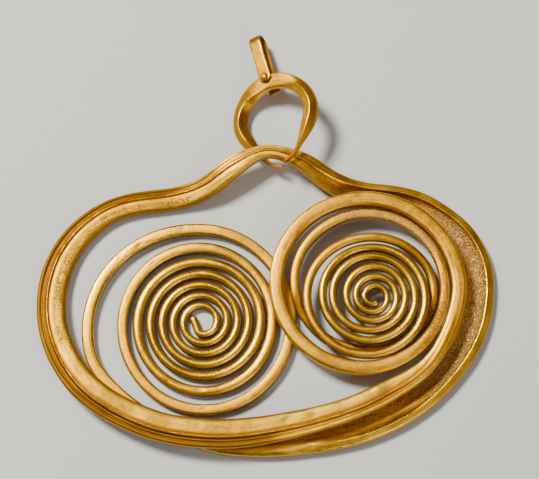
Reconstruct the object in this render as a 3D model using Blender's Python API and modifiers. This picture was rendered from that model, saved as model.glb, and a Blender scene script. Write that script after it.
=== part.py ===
import bpy
import bmesh
import math
from mathutils import Matrix, Vector

for thing in list(bpy.data.objects):
    bpy.data.objects.remove(thing, do_unlink=True)

MM = 0.001

# gold bar: width and thickness of its runs
LEFT_ARM_WIDTH = 3.9 * MM
LEFT_ARM_THICK = 1.95 * MM
LEFT_SHOULDER_WIDTH = 3.05 * MM
RIGHT_ARM_WIDTH = 4.1 * MM
RIGHT_ARM_THICK = 1.6 * MM
RIGHT_SHOULDER_WIDTH = 3.0 * MM
UNDERLAP_WIDTH = 2.6 * MM
APEX_WIDTH = 1.65 * MM
APEX_THICK = 1.55 * MM

# left coil: wire, spacing and turns
LEFT_TIP_WIDTH = 1.02 * MM
LEFT_COIL_WIDTH = 1.56 * MM
LEFT_LOOSE_WIDTH = 1.7 * MM
LEFT_WIRE_THICK = 1.4 * MM
LEFT_LOOSE_THICK = 1.5 * MM
LEFT_COIL_GAP = 0.22 * MM
LEFT_EYE_RADIUS = 1.64 * MM
LEFT_TURNS = 6.75
LEFT_TAIL_LENGTH = 1.9 * MM
LEFT_TAIL_TURN = 66.0
LEFT_FLARE = 2.2 * MM

# right coil: wire, spacing and turns
RIGHT_TIP_WIDTH = 0.91 * MM
RIGHT_COIL_WIDTH = 1.33 * MM
RIGHT_LOOSE_WIDTH = 1.95 * MM
RIGHT_LOOSE_THICK = 1.7 * MM
RIGHT_WIRE_THICK = 1.25 * MM
RIGHT_OUTER_THICK = 1.35 * MM
RIGHT_COIL_GAP = 0.2 * MM
RIGHT_EYE_RADIUS = 1.05 * MM
RIGHT_TURNS = 7.7
RIGHT_TAIL_LENGTH = 0.3 * MM
RIGHT_TAIL_TURN = 40.0

# radius of the bend before each tail
TAIL_BEND = 0.7 * MM

# clearance where one run of the bar lies over another
LAY_GAP = 0.2 * MM
# height of the second turn where it starts down under the third
DIP_START = 0.75 * MM
# height of the apex, which the ring passes under
APEX_LEVEL = 2.7 * MM

# hoop: reach of the bar's middle from the hoop's centre at its widest
HOOP_REACH = 28.1 * MM

# eyes of the two coils, in shares of the hoop's reach
LEFT_EYE = (-0.297, -0.052)
RIGHT_EYE = (0.511, 0.053)

# hoop outline: bearing in degrees from +X, share of the hoop's reach
HOOP_OUTLINE = [
    # lower left, under the other arm
    (200, 0.815), (222, 0.737), (246, 0.673),
    # bottom and lower right of the right arm
    (270, 0.637), (292, 0.655), (314, 0.733), (336, 0.854),
    # right side and right shoulder
    (358, 0.979), (376, 1.007), (394, 0.89), (410, 0.733),
    # apex
    (424, 0.69), (438, 0.73), (450, 0.751),
    # left shoulder and left side
    (463, 0.694), (476, 0.651), (490, 0.705), (508, 0.89), (524, 0.986), (542, 1.0),
    # bottom of the left arm
    (560, 0.932), (582, 0.779), (606, 0.641), (634, 0.562),
    # rise of the left arm into the right coil
    (660, 0.58), (684, 0.676), (704, 0.819), (724, 0.9),
]

# left coil's loose turns: turns from the tip, extra reach and drift in shares of the loose wire's width
LEFT_DRIFT = [
    (0.0, 0.0, 0.0, 0.0),
    (3.85, 0.0, 0.0, 0.0),
    (4.3, 0.012, 0.0, 0.0),
    (4.75, 0.059, 0.0, 0.0),
    (5.0, 0.212, 0.0, -0.024),
    (5.25, 0.082, -0.118, -0.035),
    (5.5, 0.2, -0.118, -0.012),
    (5.75, 0.176, -0.059, 0.0),
    (6.0, 0.624, -0.059, -0.047),
    (6.25, 0.571, -0.159, 0.012),
    (6.5, 0.624, -0.176, 0.029),
    (6.75, 0.559, -0.129, 0.059),
]

# right coil's loose turns, in the same way
RIGHT_DRIFT = [
    (0.0, 0.0, -0.128, 0.0),
    (1.2, -0.015, -0.144, 0.0),
    (2.2, -0.005, -0.144, 0.041),
    (2.8, 0.0, -0.215, 0.062),
    (3.2, 0.062, -0.328, 0.041),
    (3.7, 0.031, -0.256, 0.031),
    (4.2, 0.021, -0.359, 0.041),
    (4.7, 0.051, -0.308, 0.0),
    (4.94, 0.169, -0.385, -0.041),
    (5.2, 0.205, -0.497, -0.103),
    (5.45, 0.077, -0.487, -0.103),
    (5.7, 0.051, -0.41, 0.513),
    (5.96, 0.0, -0.615, 1.128),
    (6.2, 0.026, -0.744, 0.923),
    (6.7, 0.103, -0.513, 0.821),
    (6.93, 0.256, -0.692, 0.708),
    (7.2, 0.308, -0.897, 0.769),
    (7.8, 0.487, -0.667, 0.718),
]

# share of the chord that a step may cut off a bend
BEND_SAG = 0.06 * MM

# ring: a penannular hoop whose points meet below the bar, hung a little to the right of the apex
RING_OUTER_RADIUS = 6.3 * MM
RING_TOP_WIDTH = 2.1 * MM
RING_SIDE_WIDTH = 1.85 * MM
RING_POINT_WIDTH = 0.55 * MM
RING_TOP_THICK = 1.3 * MM
RING_SIDE_THICK = 1.7 * MM
RING_POINT_THICK = 0.55 * MM
RING_DROOP = 0.45 * MM
RING_PINCH = 0.5 * MM
RING_SPLAY = 0.9 * MM
RING_LIFT = 0.35 * MM
RING_POINT_BEARING = -81.0
RING_POINT_GAP = 0.8 * MM
RING_TILT = 28.0
RING_ASIDE = 1.26 * MM
RING_HANG = 1.72 * MM
RING_STEPS = 56

# bail: a strip folded over into a loop
BAIL_WIDTH = 1.7 * MM
BAIL_STRIP = 0.4 * MM
BAIL_LENGTH = 6.6 * MM
BAIL_LEAN = 16.5
BAIL_LOOP_HEIGHT = 1.5 * MM
BAIL_LIP = 0.62 * MM
BAIL_TAIL = 1.95 * MM

# rivet through both leaves of the bail and the top of the ring
RIVET_SHANK_RADIUS = 0.22 * MM
RIVET_HEAD_RADIUS = 0.58 * MM
RIVET_HEAD_HEIGHT = 0.38 * MM
RIVET_TAIL_RADIUS = 0.42 * MM
RIVET_TAIL_HEIGHT = 0.2 * MM
RIVET_BEARING = 100.8
RIVET_INSET = 0.52 * MM

# clearance between separate pieces, and from the ring's low side to the ground
FIT_GAP = 0.1 * MM
GROUND_GAP = 0.02 * MM


def smooth(x):
    x = min(1.0, max(0.0, x))
    return x * x * (3.0 - 2.0 * x)


def along(table, x):
    # cubic through the rows of a table, in its first column
    last = len(table) - 1
    if x <= table[0][0]:
        return list(table[0][1:])
    if x >= table[last][0]:
        return list(table[last][1:])
    k = 0
    while table[k + 1][0] < x:
        k += 1
    x0 = table[k][0]
    x1 = table[k + 1][0]
    h = x1 - x0
    t = (x - x0) / h
    out = []
    for c in range(1, len(table[0])):
        y0 = table[k][c]
        y1 = table[k + 1][c]
        chord = (y1 - y0) / h
        m0 = chord
        m1 = chord
        if k > 0:
            before = (y0 - table[k - 1][c]) / (x0 - table[k - 1][0])
            m0 = 0.5 * (before + chord)
        if k + 1 < last:
            after = (table[k + 2][c] - y1) / (table[k + 2][0] - x1)
            m1 = 0.5 * (chord + after)
        a = 2 * t ** 3 - 3 * t ** 2 + 1
        b = t ** 3 - 2 * t ** 2 + t
        d = t ** 3 - t ** 2
        out.append(a * y0 + b * h * m0 + (1 - a) * y1 + d * h * m1)
    return out


def straight(x):
    return x


def ramp(table, x, ease=smooth):
    # eased steps between the rows of a table, with no overshoot
    if x <= table[0][0]:
        return list(table[0][1:])
    for low, high in zip(table, table[1:]):
        if x <= high[0]:
            t = ease((x - low[0]) / (high[0] - low[0]))
            return [p + (q - p) * t for p, q in zip(low[1:], high[1:])]
    return list(table[-1][1:])


# a bearing that keeps growing walks the bar from the left coil's tip to the right coil's tip
LEFT_START = 180.0 - 360.0 * LEFT_TURNS
RIGHT_END = 720.0 + 360.0 * RIGHT_TURNS


def polar(centre, reach, bearing):
    turn = math.radians(bearing)
    return Vector((centre[0] + reach * math.cos(turn), centre[1] + reach * math.sin(turn)))


def left_coil(bearing):
    n = (bearing - LEFT_START) / 360.0
    grow = (LEFT_COIL_WIDTH - LEFT_TIP_WIDTH) / (2.0 * LEFT_TURNS)
    reach = LEFT_EYE_RADIUS + (LEFT_TIP_WIDTH + LEFT_COIL_GAP) * n + grow * n * n
    reach += LEFT_FLARE * smooth((bearing - 90.0) / 110.0)
    extra, dx, dy = along(LEFT_DRIFT, n)
    x = LEFT_EYE[0] * HOOP_REACH + dx * LEFT_LOOSE_WIDTH
    y = LEFT_EYE[1] * HOOP_REACH + dy * LEFT_LOOSE_WIDTH
    return polar((x, y), reach + extra * LEFT_LOOSE_WIDTH, bearing)


def right_coil(bearing):
    m = (RIGHT_END - bearing) / 360.0
    grow = (RIGHT_COIL_WIDTH - RIGHT_TIP_WIDTH) / (2.0 * (RIGHT_TURNS - 1.0))
    reach = RIGHT_EYE_RADIUS + (RIGHT_TIP_WIDTH + RIGHT_COIL_GAP) * m + grow * m * m
    extra, dx, dy = along(RIGHT_DRIFT, m)
    x = RIGHT_EYE[0] * HOOP_REACH + dx * RIGHT_LOOSE_WIDTH
    y = RIGHT_EYE[1] * HOOP_REACH + dy * RIGHT_LOOSE_WIDTH
    return polar((x, y), reach + extra * RIGHT_LOOSE_WIDTH, bearing)


def hoop(bearing):
    return polar((0.0, 0.0), along(HOOP_OUTLINE, bearing)[0] * HOOP_REACH, bearing)


def middle(bearing):
    # middle line of the bar in plan
    if bearing < 197.0:
        return left_coil(bearing)
    if bearing < 222.0:
        t = smooth((bearing - 197.0) / 25.0)
        return left_coil(bearing).lerp(hoop(bearing), t)
    if bearing < 698.0:
        return hoop(bearing)
    if bearing < 722.0:
        t = smooth((bearing - 698.0) / 24.0)
        return hoop(bearing).lerp(right_coil(bearing), t)
    return right_coil(bearing)


# heights of the underside: what lies on top clears what lies below
OVER_WIRE = LEFT_LOOSE_THICK + LAY_GAP
OVER_ARM = RIGHT_ARM_THICK + LAY_GAP
LOOSE_LEVEL = max(OVER_WIRE, OVER_ARM)
DISC_LEVEL = DIP_START + RIGHT_OUTER_THICK + LAY_GAP

# width of the left coil's wire one turn before its outermost end
LEFT_LAST_WIDTH = LEFT_COIL_WIDTH - (LEFT_COIL_WIDTH - LEFT_TIP_WIDTH) / LEFT_TURNS

# bearing, width, thickness
SIZES = [
    (LEFT_START, LEFT_TIP_WIDTH, LEFT_WIRE_THICK * 0.85),
    (-180.0, LEFT_LAST_WIDTH, LEFT_WIRE_THICK),
    (180.0, LEFT_COIL_WIDTH, LEFT_LOOSE_THICK),
    (222.0, LEFT_LOOSE_WIDTH, LEFT_LOOSE_THICK),
    (262.0, UNDERLAP_WIDTH, RIGHT_ARM_THICK),
    (330.0, RIGHT_ARM_WIDTH, RIGHT_ARM_THICK),
    (388.0, RIGHT_ARM_WIDTH, RIGHT_ARM_THICK),
    (426.0, RIGHT_SHOULDER_WIDTH, RIGHT_ARM_THICK),
    (449.0, APEX_WIDTH, APEX_THICK),
    (464.0, LEFT_SHOULDER_WIDTH, APEX_THICK),
    (500.0, LEFT_SHOULDER_WIDTH, LEFT_ARM_THICK),
    (530.0, LEFT_ARM_WIDTH, LEFT_ARM_THICK),
    (610.0, LEFT_ARM_WIDTH, LEFT_ARM_THICK),
    (680.0, LEFT_SHOULDER_WIDTH, LEFT_ARM_THICK),
    (706.0, RIGHT_LOOSE_WIDTH, RIGHT_LOOSE_THICK),
    (980.0, RIGHT_LOOSE_WIDTH, RIGHT_LOOSE_THICK),
    (1080.0, RIGHT_COIL_WIDTH, RIGHT_OUTER_THICK),
    (RIGHT_END, RIGHT_TIP_WIDTH, RIGHT_WIRE_THICK * 0.8),
]

# bearing, height of the underside
LEVELS = [
    (410.0, 0.0),
    (440.0, APEX_LEVEL),
    (459.0, APEX_LEVEL),
    (492.0, 0.0),
    (520.0, 0.0),
    (570.0, OVER_WIRE),
    (600.0, LOOSE_LEVEL),
    (1268.0, LOOSE_LEVEL),
    (1288.0, DIP_START),
    (1315.0, 0.0),
    (1390.0, 0.0),
    (1440.0, 0.45 * DISC_LEVEL),
    (1530.0, DISC_LEVEL),
    (1815.0, DISC_LEVEL),
    (1890.0, DISC_LEVEL - 0.3 * RIGHT_WIRE_THICK),
    (1965.0, DISC_LEVEL),
]

# share of each section: round wire, squared wire, ribbed band, channelled band
SHARES = [
    (-900.0, 0.8, 0.2, 0.0, 0.0),
    (-540.0, 0.5, 0.5, 0.0, 0.0),
    (-200.0, 0.15, 0.85, 0.0, 0.0),
    (222.0, 0.0, 1.0, 0.0, 0.0),
    (270.0, 0.0, 0.85, 0.0, 0.15),
    (325.0, 0.0, 0.0, 0.0, 1.0),
    (405.0, 0.0, 0.0, 0.0, 1.0),
    (440.0, 0.0, 0.5, 0.5, 0.0),
    (480.0, 0.0, 0.0, 1.0, 0.0),
    (682.0, 0.0, 0.0, 1.0, 0.0),
    (714.0, 0.0, 1.0, 0.0, 0.0),
    (1080.0, 0.2, 0.8, 0.0, 0.0),
    (1500.0, 0.6, 0.4, 0.0, 0.0),
    (1900.0, 0.8, 0.2, 0.0, 0.0),
]

# sections: across from the outer edge to the inner edge, up from the underside
ROUND = [(-0.36, 0.14), (-0.5, 0.5), (-0.36, 0.86), (0.0, 1.0),
         (0.36, 0.86), (0.5, 0.5), (0.36, 0.14), (0.0, 0.0)]
SQUARED = [(-0.42, 0.03), (-0.5, 0.5), (-0.43, 0.93), (0.0, 1.0),
           (0.43, 0.93), (0.5, 0.5), (0.42, 0.03), (0.0, 0.0)]
RIBBED = [(-0.43, 0.03), (-0.48, 0.77), (-0.2, 0.76), (-0.13, 1.0),
          (-0.06, 0.82), (0.45, 0.77), (0.45, 0.03), (0.0, 0.0)]
CHANNEL = [(-0.41, 0.03), (-0.5, 0.6), (-0.27, 1.0), (-0.17, 0.84),
           (0.1, 0.5), (0.48, 0.84), (0.4, 0.03), (0.0, 0.0)]


def section(bearing):
    shares = ramp(SHARES, bearing)
    points = []
    for k in range(len(ROUND)):
        u = sum(s * q[k][0] for s, q in zip(shares, (ROUND, SQUARED, RIBBED, CHANNEL)))
        v = sum(s * q[k][1] for s, q in zip(shares, (ROUND, SQUARED, RIBBED, CHANNEL)))
        points.append((u, v))
    return points


def loft(name, rings, material, collection, parent=None):
    # skin over a row of closed rings, with a face on each end
    bm = bmesh.new()
    rows = [[bm.verts.new(p) for p in ring] for ring in rings]
    count = len(rows[0])
    for low, high in zip(rows, rows[1:]):
        for k in range(count):
            j = (k + 1) % count
            bm.faces.new((low[k], low[j], high[j], high[k]))
    bm.faces.new(rows[0][::-1])
    bm.faces.new(rows[-1])
    bmesh.ops.triangulate(bm, faces=[f for f in bm.faces if len(f.verts) > 3])
    bmesh.ops.recalc_face_normals(bm, faces=bm.faces[:])
    mesh = bpy.data.meshes.new(name)
    bm.to_mesh(mesh)
    bm.free()
    mesh.shade_smooth()
    mesh.set_sharp_from_angle(angle=math.radians(40))
    mesh.materials.append(material)
    thing = bpy.data.objects.new(name, mesh)
    collection.objects.link(thing)
    if parent is not None:
        thing.parent = parent
    return thing


def gold(name, colour, roughness):
    material = bpy.data.materials.new(name)
    material.use_nodes = True
    shader = material.node_tree.nodes["Principled BSDF"]
    shader.inputs["Base Color"].default_value = (*colour, 1.0)
    shader.inputs["Metallic"].default_value = 1.0
    shader.inputs["Roughness"].default_value = roughness
    return material


parts = bpy.data.collections.new("double_spiral_earring")
cutters = bpy.data.collections.new("cutters")
bpy.context.scene.collection.children.link(parts)
bpy.context.scene.collection.children.link(cutters)

# bar: bearings closer together where the bend is tight
bearings = []
bearing = LEFT_START
while bearing < RIGHT_END:
    bearings.append(bearing)
    near = middle(bearing)
    ahead = middle(bearing + 4.0) - near
    past = near - middle(bearing - 4.0) if bearing > LEFT_START + 4.0 else ahead
    bend = abs(past.angle_signed(ahead)) / max(ahead.length, 1e-6)
    radius = min(max(1.0 / max(bend, 1e-6), LEFT_TIP_WIDTH), 0.5 * HOOP_REACH)
    stride = math.sqrt(8.0 * BEND_SAG * radius)
    bearing += 4.0 * min(stride / ahead.length, 9.0)
bearings.append(RIGHT_END)

rings = []
for bearing in bearings:
    here = middle(bearing)
    run = (middle(bearing + 0.5) - middle(bearing - 0.5)).normalized()
    across = Vector((-run.y, run.x))
    width, thick = ramp(SIZES, bearing, smooth if 222.0 < bearing < 1080.0 else straight)
    level = ramp(LEVELS, bearing)[0]
    ring = []
    for u, v in section(bearing):
        spot = here + across * (u * width)
        ring.append(Vector((spot.x, spot.y, level + v * thick)))
    rings.append(ring)


def tail(ring, inside, outside, length, turn):
    # wire bent in towards the eye of its coil, then a straight end
    run = (inside - outside).normalized()
    heart = sum((Vector(p) for p in ring), Vector((0.0, 0.0, 0.0))) / len(ring)
    spot = heart.copy()
    out = []
    for step in range(1, 5):
        share = min(step, 3) / 3.0
        go = share if step == 4 else share - 1.0 / 6.0
        ahead = Matrix.Rotation(math.radians(turn * go), 2) @ run
        stride = length if step == 4 else TAIL_BEND * abs(math.radians(turn)) / 3.0
        spot = spot + Vector((ahead.x, ahead.y, 0.0)) * stride
        swing = Matrix.Rotation(math.radians(turn * share), 3, "Z")
        out.append([swing @ (p - heart) + spot for p in ring])
    return out


# tails at the eyes of the coils
start = tail(rings[0], middle(LEFT_START), middle(LEFT_START + 6.0), LEFT_TAIL_LENGTH, -LEFT_TAIL_TURN)
finish = tail(rings[-1], middle(RIGHT_END), middle(RIGHT_END - 6.0), RIGHT_TAIL_LENGTH, RIGHT_TAIL_TURN)
rings = start[::-1] + rings + finish
bar = loft("spiral_bar", rings, gold("aged_gold", (0.72, 0.45, 0.13), 0.32), parts)

# the ring, the bail and the rivet share one leaning plane
tilt = math.radians(RING_TILT)
ring_height = (RING_OUTER_RADIUS - 0.2 * RING_SIDE_WIDTH) * math.sin(tilt)
ring_height += 0.5 * RING_SIDE_THICK * math.cos(tilt) + GROUND_GAP
plane = bpy.data.objects.new("ring_plane", None)
apex = middle(450.0)
plane.location = (apex.x + RING_ASIDE, apex.y + RING_OUTER_RADIUS - RING_HANG, ring_height)
plane.rotation_euler = (0.0, -tilt, 0.0)
parts.objects.link(plane)

rings = []
gap_angle = math.degrees(RING_POINT_GAP / RING_OUTER_RADIUS)
first = RING_POINT_BEARING + 0.5 * gap_angle
sweep = 360.0 - gap_angle
for step in range(RING_STEPS + 1):
    share = step / RING_STEPS
    turn = math.radians(first + sweep * share)
    # distance from the top of the ring, 0 there and 1 at the points
    drop = abs(2.0 * share - 1.0)
    width, thick = ramp([(0.0, RING_TOP_WIDTH, RING_TOP_THICK),
                         (0.15, RING_TOP_WIDTH, RING_TOP_THICK),
                         (0.45, RING_SIDE_WIDTH, RING_SIDE_THICK),
                         (0.6, RING_SIDE_WIDTH, RING_SIDE_THICK),
                         (0.92, RING_POINT_WIDTH, RING_POINT_THICK)], drop)
    reach = RING_OUTER_RADIUS - 0.5 * width + RING_DROOP * smooth((drop - 0.75) / 0.25)
    reach -= RING_PINCH * smooth((drop - 0.45) / 0.3) * smooth((1.0 - drop) / 0.2)
    out = Vector((math.cos(turn), math.sin(turn), 0.0))
    up = Vector((0.0, 0.0, 1.0))
    # the left limb bends down out of the plane to pass below the bar, the right one up
    sink = (RING_SPLAY if share > 0.5 else -RING_LIFT) * smooth((drop - 0.58) / 0.3)
    ring = []
    for u, v in [(-0.5, -0.34), (-0.5, 0.34), (-0.3, 0.5), (0.3, 0.5),
                 (0.5, 0.34), (0.5, -0.34), (0.3, -0.5), (-0.3, -0.5)]:
        ring.append(out * (reach + u * width) + up * (v * thick - sink))
    rings.append(ring)
hoop_ring = loft("suspension_ring", rings, gold("ring_gold", (0.74, 0.47, 0.15), 0.3), parts, plane)

# where the rivet goes through
pin = RING_OUTER_RADIUS - RIVET_INSET
pin_turn = math.radians(RIVET_BEARING)
pin_spot = Vector((pin * math.cos(pin_turn), pin * math.sin(pin_turn), 0.0))

# bail: the strip's middle line runs in the plane of the lean and the ring's normal
lean = math.radians(90.0 + BAIL_LEAN)
ahead = Vector((math.cos(lean), math.sin(lean), 0.0))
side = Vector((math.sin(lean), -math.cos(lean), 0.0))
leaf = 0.5 * RING_TOP_THICK + FIT_GAP + 0.5 * BAIL_STRIP
fold = 0.5 * BAIL_LOOP_HEIGHT + 0.5 * BAIL_STRIP
top = BAIL_LENGTH - fold - 0.5 * BAIL_STRIP
route = []
for share in (0.0, 0.08, 0.25, 0.5, 1.0):
    route.append((-BAIL_LIP + share * BAIL_LIP, leaf, share))
route.append((0.45 * top, leaf, 1.0))
route.append((0.75 * top, max(leaf, fold) * 0.5 + leaf * 0.5, 1.0))
for step in range(9):
    turn = math.pi * step / 8
    route.append((top + fold * math.sin(turn), fold * math.cos(turn), 1.0))
route.append((0.75 * top, -max(leaf, fold) * 0.5 - leaf * 0.5, 1.0))
route.append((0.45 * top, -leaf, 1.0))
route.append((0.0, -leaf, 1.0))
route.append((-0.8 * BAIL_TAIL, -leaf, 1.0))
route.append((-BAIL_TAIL, -leaf, 0.8))

rings = []
for k in range(len(route)):
    s, z, full = route[k]
    s0, z0, _ = route[max(k - 1, 0)]
    s1, z1, _ = route[min(k + 1, len(route) - 1)]
    run = Vector((s1 - s0, z1 - z0)).normalized()
    normal = ahead * (-run.y) + Vector((0.0, 0.0, run.x))
    centre = pin_spot + ahead * s + Vector((0.0, 0.0, z))
    # the front end is rounded off
    half = 0.5 * BAIL_WIDTH * math.sqrt(max(0.12, 1.0 - (1.0 - full) ** 2))
    t = 0.5 * BAIL_STRIP
    ring = [centre - side * half - normal * t, centre - side * half + normal * t,
            centre + side * half + normal * t, centre + side * half - normal * t]
    rings.append(ring)
bail = loft("folded_bail", rings, gold("bail_gold", (0.74, 0.45, 0.12), 0.3), parts, plane)


def drill(target, name, radius):
    bpy.ops.mesh.primitive_cylinder_add(vertices=16, radius=radius, depth=12.0 * RING_TOP_THICK)
    cutter = bpy.context.object
    cutter.name = name
    for owner in list(cutter.users_collection):
        owner.objects.unlink(cutter)
    cutters.objects.link(cutter)
    cutter.parent = plane
    cutter.location = pin_spot
    cutter.hide_render = True
    cutter.display_type = "WIRE"
    cut = target.modifiers.new("rivet_hole", "BOOLEAN")
    cut.operation = "DIFFERENCE"
    cut.solver = "EXACT"
    cut.object = cutter


drill(hoop_ring, "ring_hole_cutter", RIVET_SHANK_RADIUS + FIT_GAP)
drill(bail, "bail_hole_cutter", RIVET_SHANK_RADIUS + FIT_GAP)

# rivet: domed head above the front leaf, flat tail below the rear leaf
seat = leaf + 0.5 * BAIL_STRIP + FIT_GAP
profile = [(0.0, seat + RIVET_HEAD_HEIGHT)]
for step in range(1, 6):
    turn = math.radians(90.0 - 18.0 * step)
    profile.append((RIVET_HEAD_RADIUS * math.cos(turn), seat + RIVET_HEAD_HEIGHT * math.sin(turn)))
profile.append((RIVET_SHANK_RADIUS, seat))
profile.append((RIVET_SHANK_RADIUS, -seat))
profile.append((RIVET_TAIL_RADIUS, -seat))
profile.append((RIVET_TAIL_RADIUS, -seat - RIVET_TAIL_HEIGHT))
profile.append((0.0, -seat - RIVET_TAIL_HEIGHT))
mesh = bpy.data.meshes.new("rivet")
edges = [(k, k + 1) for k in range(len(profile) - 1)]
mesh.from_pydata([(x, 0.0, z) for x, z in profile], edges, [])
rivet = bpy.data.objects.new("rivet", mesh)
parts.objects.link(rivet)
rivet.parent = plane
rivet.location = pin_spot
spin = rivet.modifiers.new("turned", "SCREW")
spin.steps = 20
spin.render_steps = 20
spin.use_merge_vertices = True
spin.merge_threshold = 0.00001
mesh.materials.append(gold("rivet_gold", (0.76, 0.5, 0.18), 0.28))

# put the middle of the footprint on the origin and the lowest point on the ground
bpy.context.view_layer.update()
corners = []
for thing in (bar, hoop_ring, bail, rivet):
    shape = thing.evaluated_get(bpy.context.evaluated_depsgraph_get())
    corners += [shape.matrix_world @ v.co for v in shape.data.vertices]
low = Vector([min(c[k] for c in corners) for k in range(3)])
high = Vector([max(c[k] for c in corners) for k in range(3)])
shift = Vector((-0.5 * (low.x + high.x), -0.5 * (low.y + high.y), -low.z))
bar.location += shift
plane.location += shift
bpy.context.view_layer.update()
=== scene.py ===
import math

import bpy
import numpy as np
from mathutils import Matrix, Vector


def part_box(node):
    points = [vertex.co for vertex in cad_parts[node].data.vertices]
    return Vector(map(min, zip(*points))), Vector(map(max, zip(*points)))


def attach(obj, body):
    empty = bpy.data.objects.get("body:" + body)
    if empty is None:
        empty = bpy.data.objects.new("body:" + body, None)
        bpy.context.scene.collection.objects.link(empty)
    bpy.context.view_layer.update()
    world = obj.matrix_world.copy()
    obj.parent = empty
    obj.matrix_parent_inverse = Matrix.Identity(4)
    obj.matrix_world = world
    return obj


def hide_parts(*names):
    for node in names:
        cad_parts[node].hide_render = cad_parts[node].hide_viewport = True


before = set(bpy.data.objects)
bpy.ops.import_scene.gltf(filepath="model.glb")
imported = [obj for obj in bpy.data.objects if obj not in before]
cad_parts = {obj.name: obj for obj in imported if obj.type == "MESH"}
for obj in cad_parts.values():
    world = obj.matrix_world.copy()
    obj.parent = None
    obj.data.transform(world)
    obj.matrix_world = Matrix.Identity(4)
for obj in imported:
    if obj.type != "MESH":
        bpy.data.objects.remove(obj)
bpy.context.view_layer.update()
MM = 0.001

# gold bar: width and thickness of its runs, in millimetres
LEFT_ARM_WIDTH = 3.9
LEFT_ARM_THICK = 1.95
LEFT_SHOULDER_WIDTH = 3.05
RIGHT_ARM_WIDTH = 4.1
RIGHT_ARM_THICK = 1.6
RIGHT_SHOULDER_WIDTH = 3.0
UNDERLAP_WIDTH = 2.6
APEX_WIDTH = 1.65
APEX_THICK = 1.55

LEFT_TIP_WIDTH = 1.02
LEFT_COIL_WIDTH = 1.56
LEFT_LOOSE_WIDTH = 1.7
LEFT_WIRE_THICK = 1.4
LEFT_LOOSE_THICK = 1.5
LEFT_COIL_GAP = 0.22
LEFT_EYE_RADIUS = 1.64
LEFT_TURNS = 6.75
LEFT_TAIL_LENGTH = 1.9
LEFT_TAIL_TURN = 66.0
LEFT_FLARE = 2.2

RIGHT_TIP_WIDTH = 0.91
RIGHT_COIL_WIDTH = 1.33
RIGHT_LOOSE_WIDTH = 1.95
RIGHT_LOOSE_THICK = 1.7
RIGHT_WIRE_THICK = 1.25
RIGHT_OUTER_THICK = 1.35
RIGHT_COIL_GAP = 0.2
RIGHT_EYE_RADIUS = 1.05
RIGHT_TURNS = 7.7
RIGHT_TAIL_LENGTH = 0.3
RIGHT_TAIL_TURN = 40.0

TAIL_BEND = 0.7
LAY_GAP = 0.2
DIP_START = 0.75
APEX_LEVEL = 2.7
HOOP_CENTRE = (-0.46, -9.9)
LEFT_EYE = (-8.8, -11.35)
RIGHT_EYE = (13.9, -8.4)

# hoop outline: bearing in degrees from +X, reach of the bar's middle
HOOP_OUTLINE = [
    (200, 22.9), (222, 20.7), (246, 18.9),
    (270, 17.9), (292, 18.4), (314, 20.6), (336, 24.0),
    (358, 27.5), (376, 28.3), (394, 25.0), (410, 20.6), (424, 19.4), (438, 20.5), (450, 21.1),
    (463, 19.5), (476, 18.3), (490, 19.8), (508, 25.0), (524, 27.7), (542, 28.1),
    (560, 26.2), (582, 21.9), (606, 18.0), (634, 15.8), (660, 16.3), (684, 19.0), (704, 23.0),
    (724, 25.3),
]
# loose outer turns: turns from the tip, extra reach, drift of the centre
LEFT_DRIFT = [
    (0.0, 0, 0, 0), (3.85, 0, 0, 0), (4.3, 0.02, 0, 0), (4.75, 0.1, 0, 0),
    (5.0, 0.36, 0, -0.04), (5.25, 0.14, -0.2, -0.06), (5.5, 0.34, -0.2, -0.02), (5.75, 0.3, -0.1, 0.0),
    (6.0, 1.06, -0.1, -0.08), (6.25, 0.97, -0.27, 0.02), (6.5, 1.06, -0.3, 0.05), (6.75, 0.95, -0.22, 0.1),
]
RIGHT_DRIFT = [
    (0.0, 0.0, -0.25, 0.0), (1.2, -0.03, -0.28, 0.0), (2.2, -0.01, -0.28, 0.08), (2.8, 0.0, -0.42, 0.12),
    (3.2, 0.12, -0.64, 0.08), (3.7, 0.06, -0.5, 0.06), (4.2, 0.04, -0.7, 0.08), (4.7, 0.1, -0.6, 0.0),
    (4.94, 0.33, -0.75, -0.08), (5.2, 0.4, -0.97, -0.2), (5.45, 0.15, -0.95, -0.2), (5.7, 0.1, -0.8, 1.0),
    (5.96, 0.0, -1.2, 2.2), (6.2, 0.05, -1.45, 1.8), (6.7, 0.2, -1.0, 1.6), (6.93, 0.5, -1.35, 1.38),
    (7.2, 0.6, -1.75, 1.5), (7.8, 0.95, -1.3, 1.4),
]

# ring, bail and rivet
RING_OUTER_RADIUS = 6.3
RING_TOP_WIDTH = 2.1
RING_SIDE_WIDTH = 1.85
RING_POINT_WIDTH = 0.55
RING_TOP_THICK = 1.3
RING_SIDE_THICK = 1.7
RING_POINT_THICK = 0.55
RING_DROOP = 0.45
RING_PINCH = 0.5
RING_SPLAY = 0.9
RING_LIFT = 0.35
RING_POINT_BEARING = -81.0
RING_POINT_GAP = 0.8
RING_TILT = 28.0
RING_CENTRE = (0.8, 15.78)
BAIL_WIDTH = 1.7
BAIL_STRIP = 0.4
BAIL_LENGTH = 6.6
BAIL_LEAN = 16.5
BAIL_LOOP_HEIGHT = 1.5
BAIL_LIP = 0.62
BAIL_TAIL = 1.95
RIVET_SHANK_RADIUS = 0.22
RIVET_HEAD_RADIUS = 0.58
RIVET_HEAD_HEIGHT = 0.38
RIVET_TAIL_RADIUS = 0.42
RIVET_TAIL_HEIGHT = 0.2
RIVET_BEARING = 100.8
RIVET_INSET = 0.52
FIT_GAP = 0.1
GROUND_GAP = 0.02

# length of one step along the bar, and rows of points along the ring and the bail
STEP = 0.39
RING_ROWS = 220
BAIL_ROWS = 150
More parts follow.
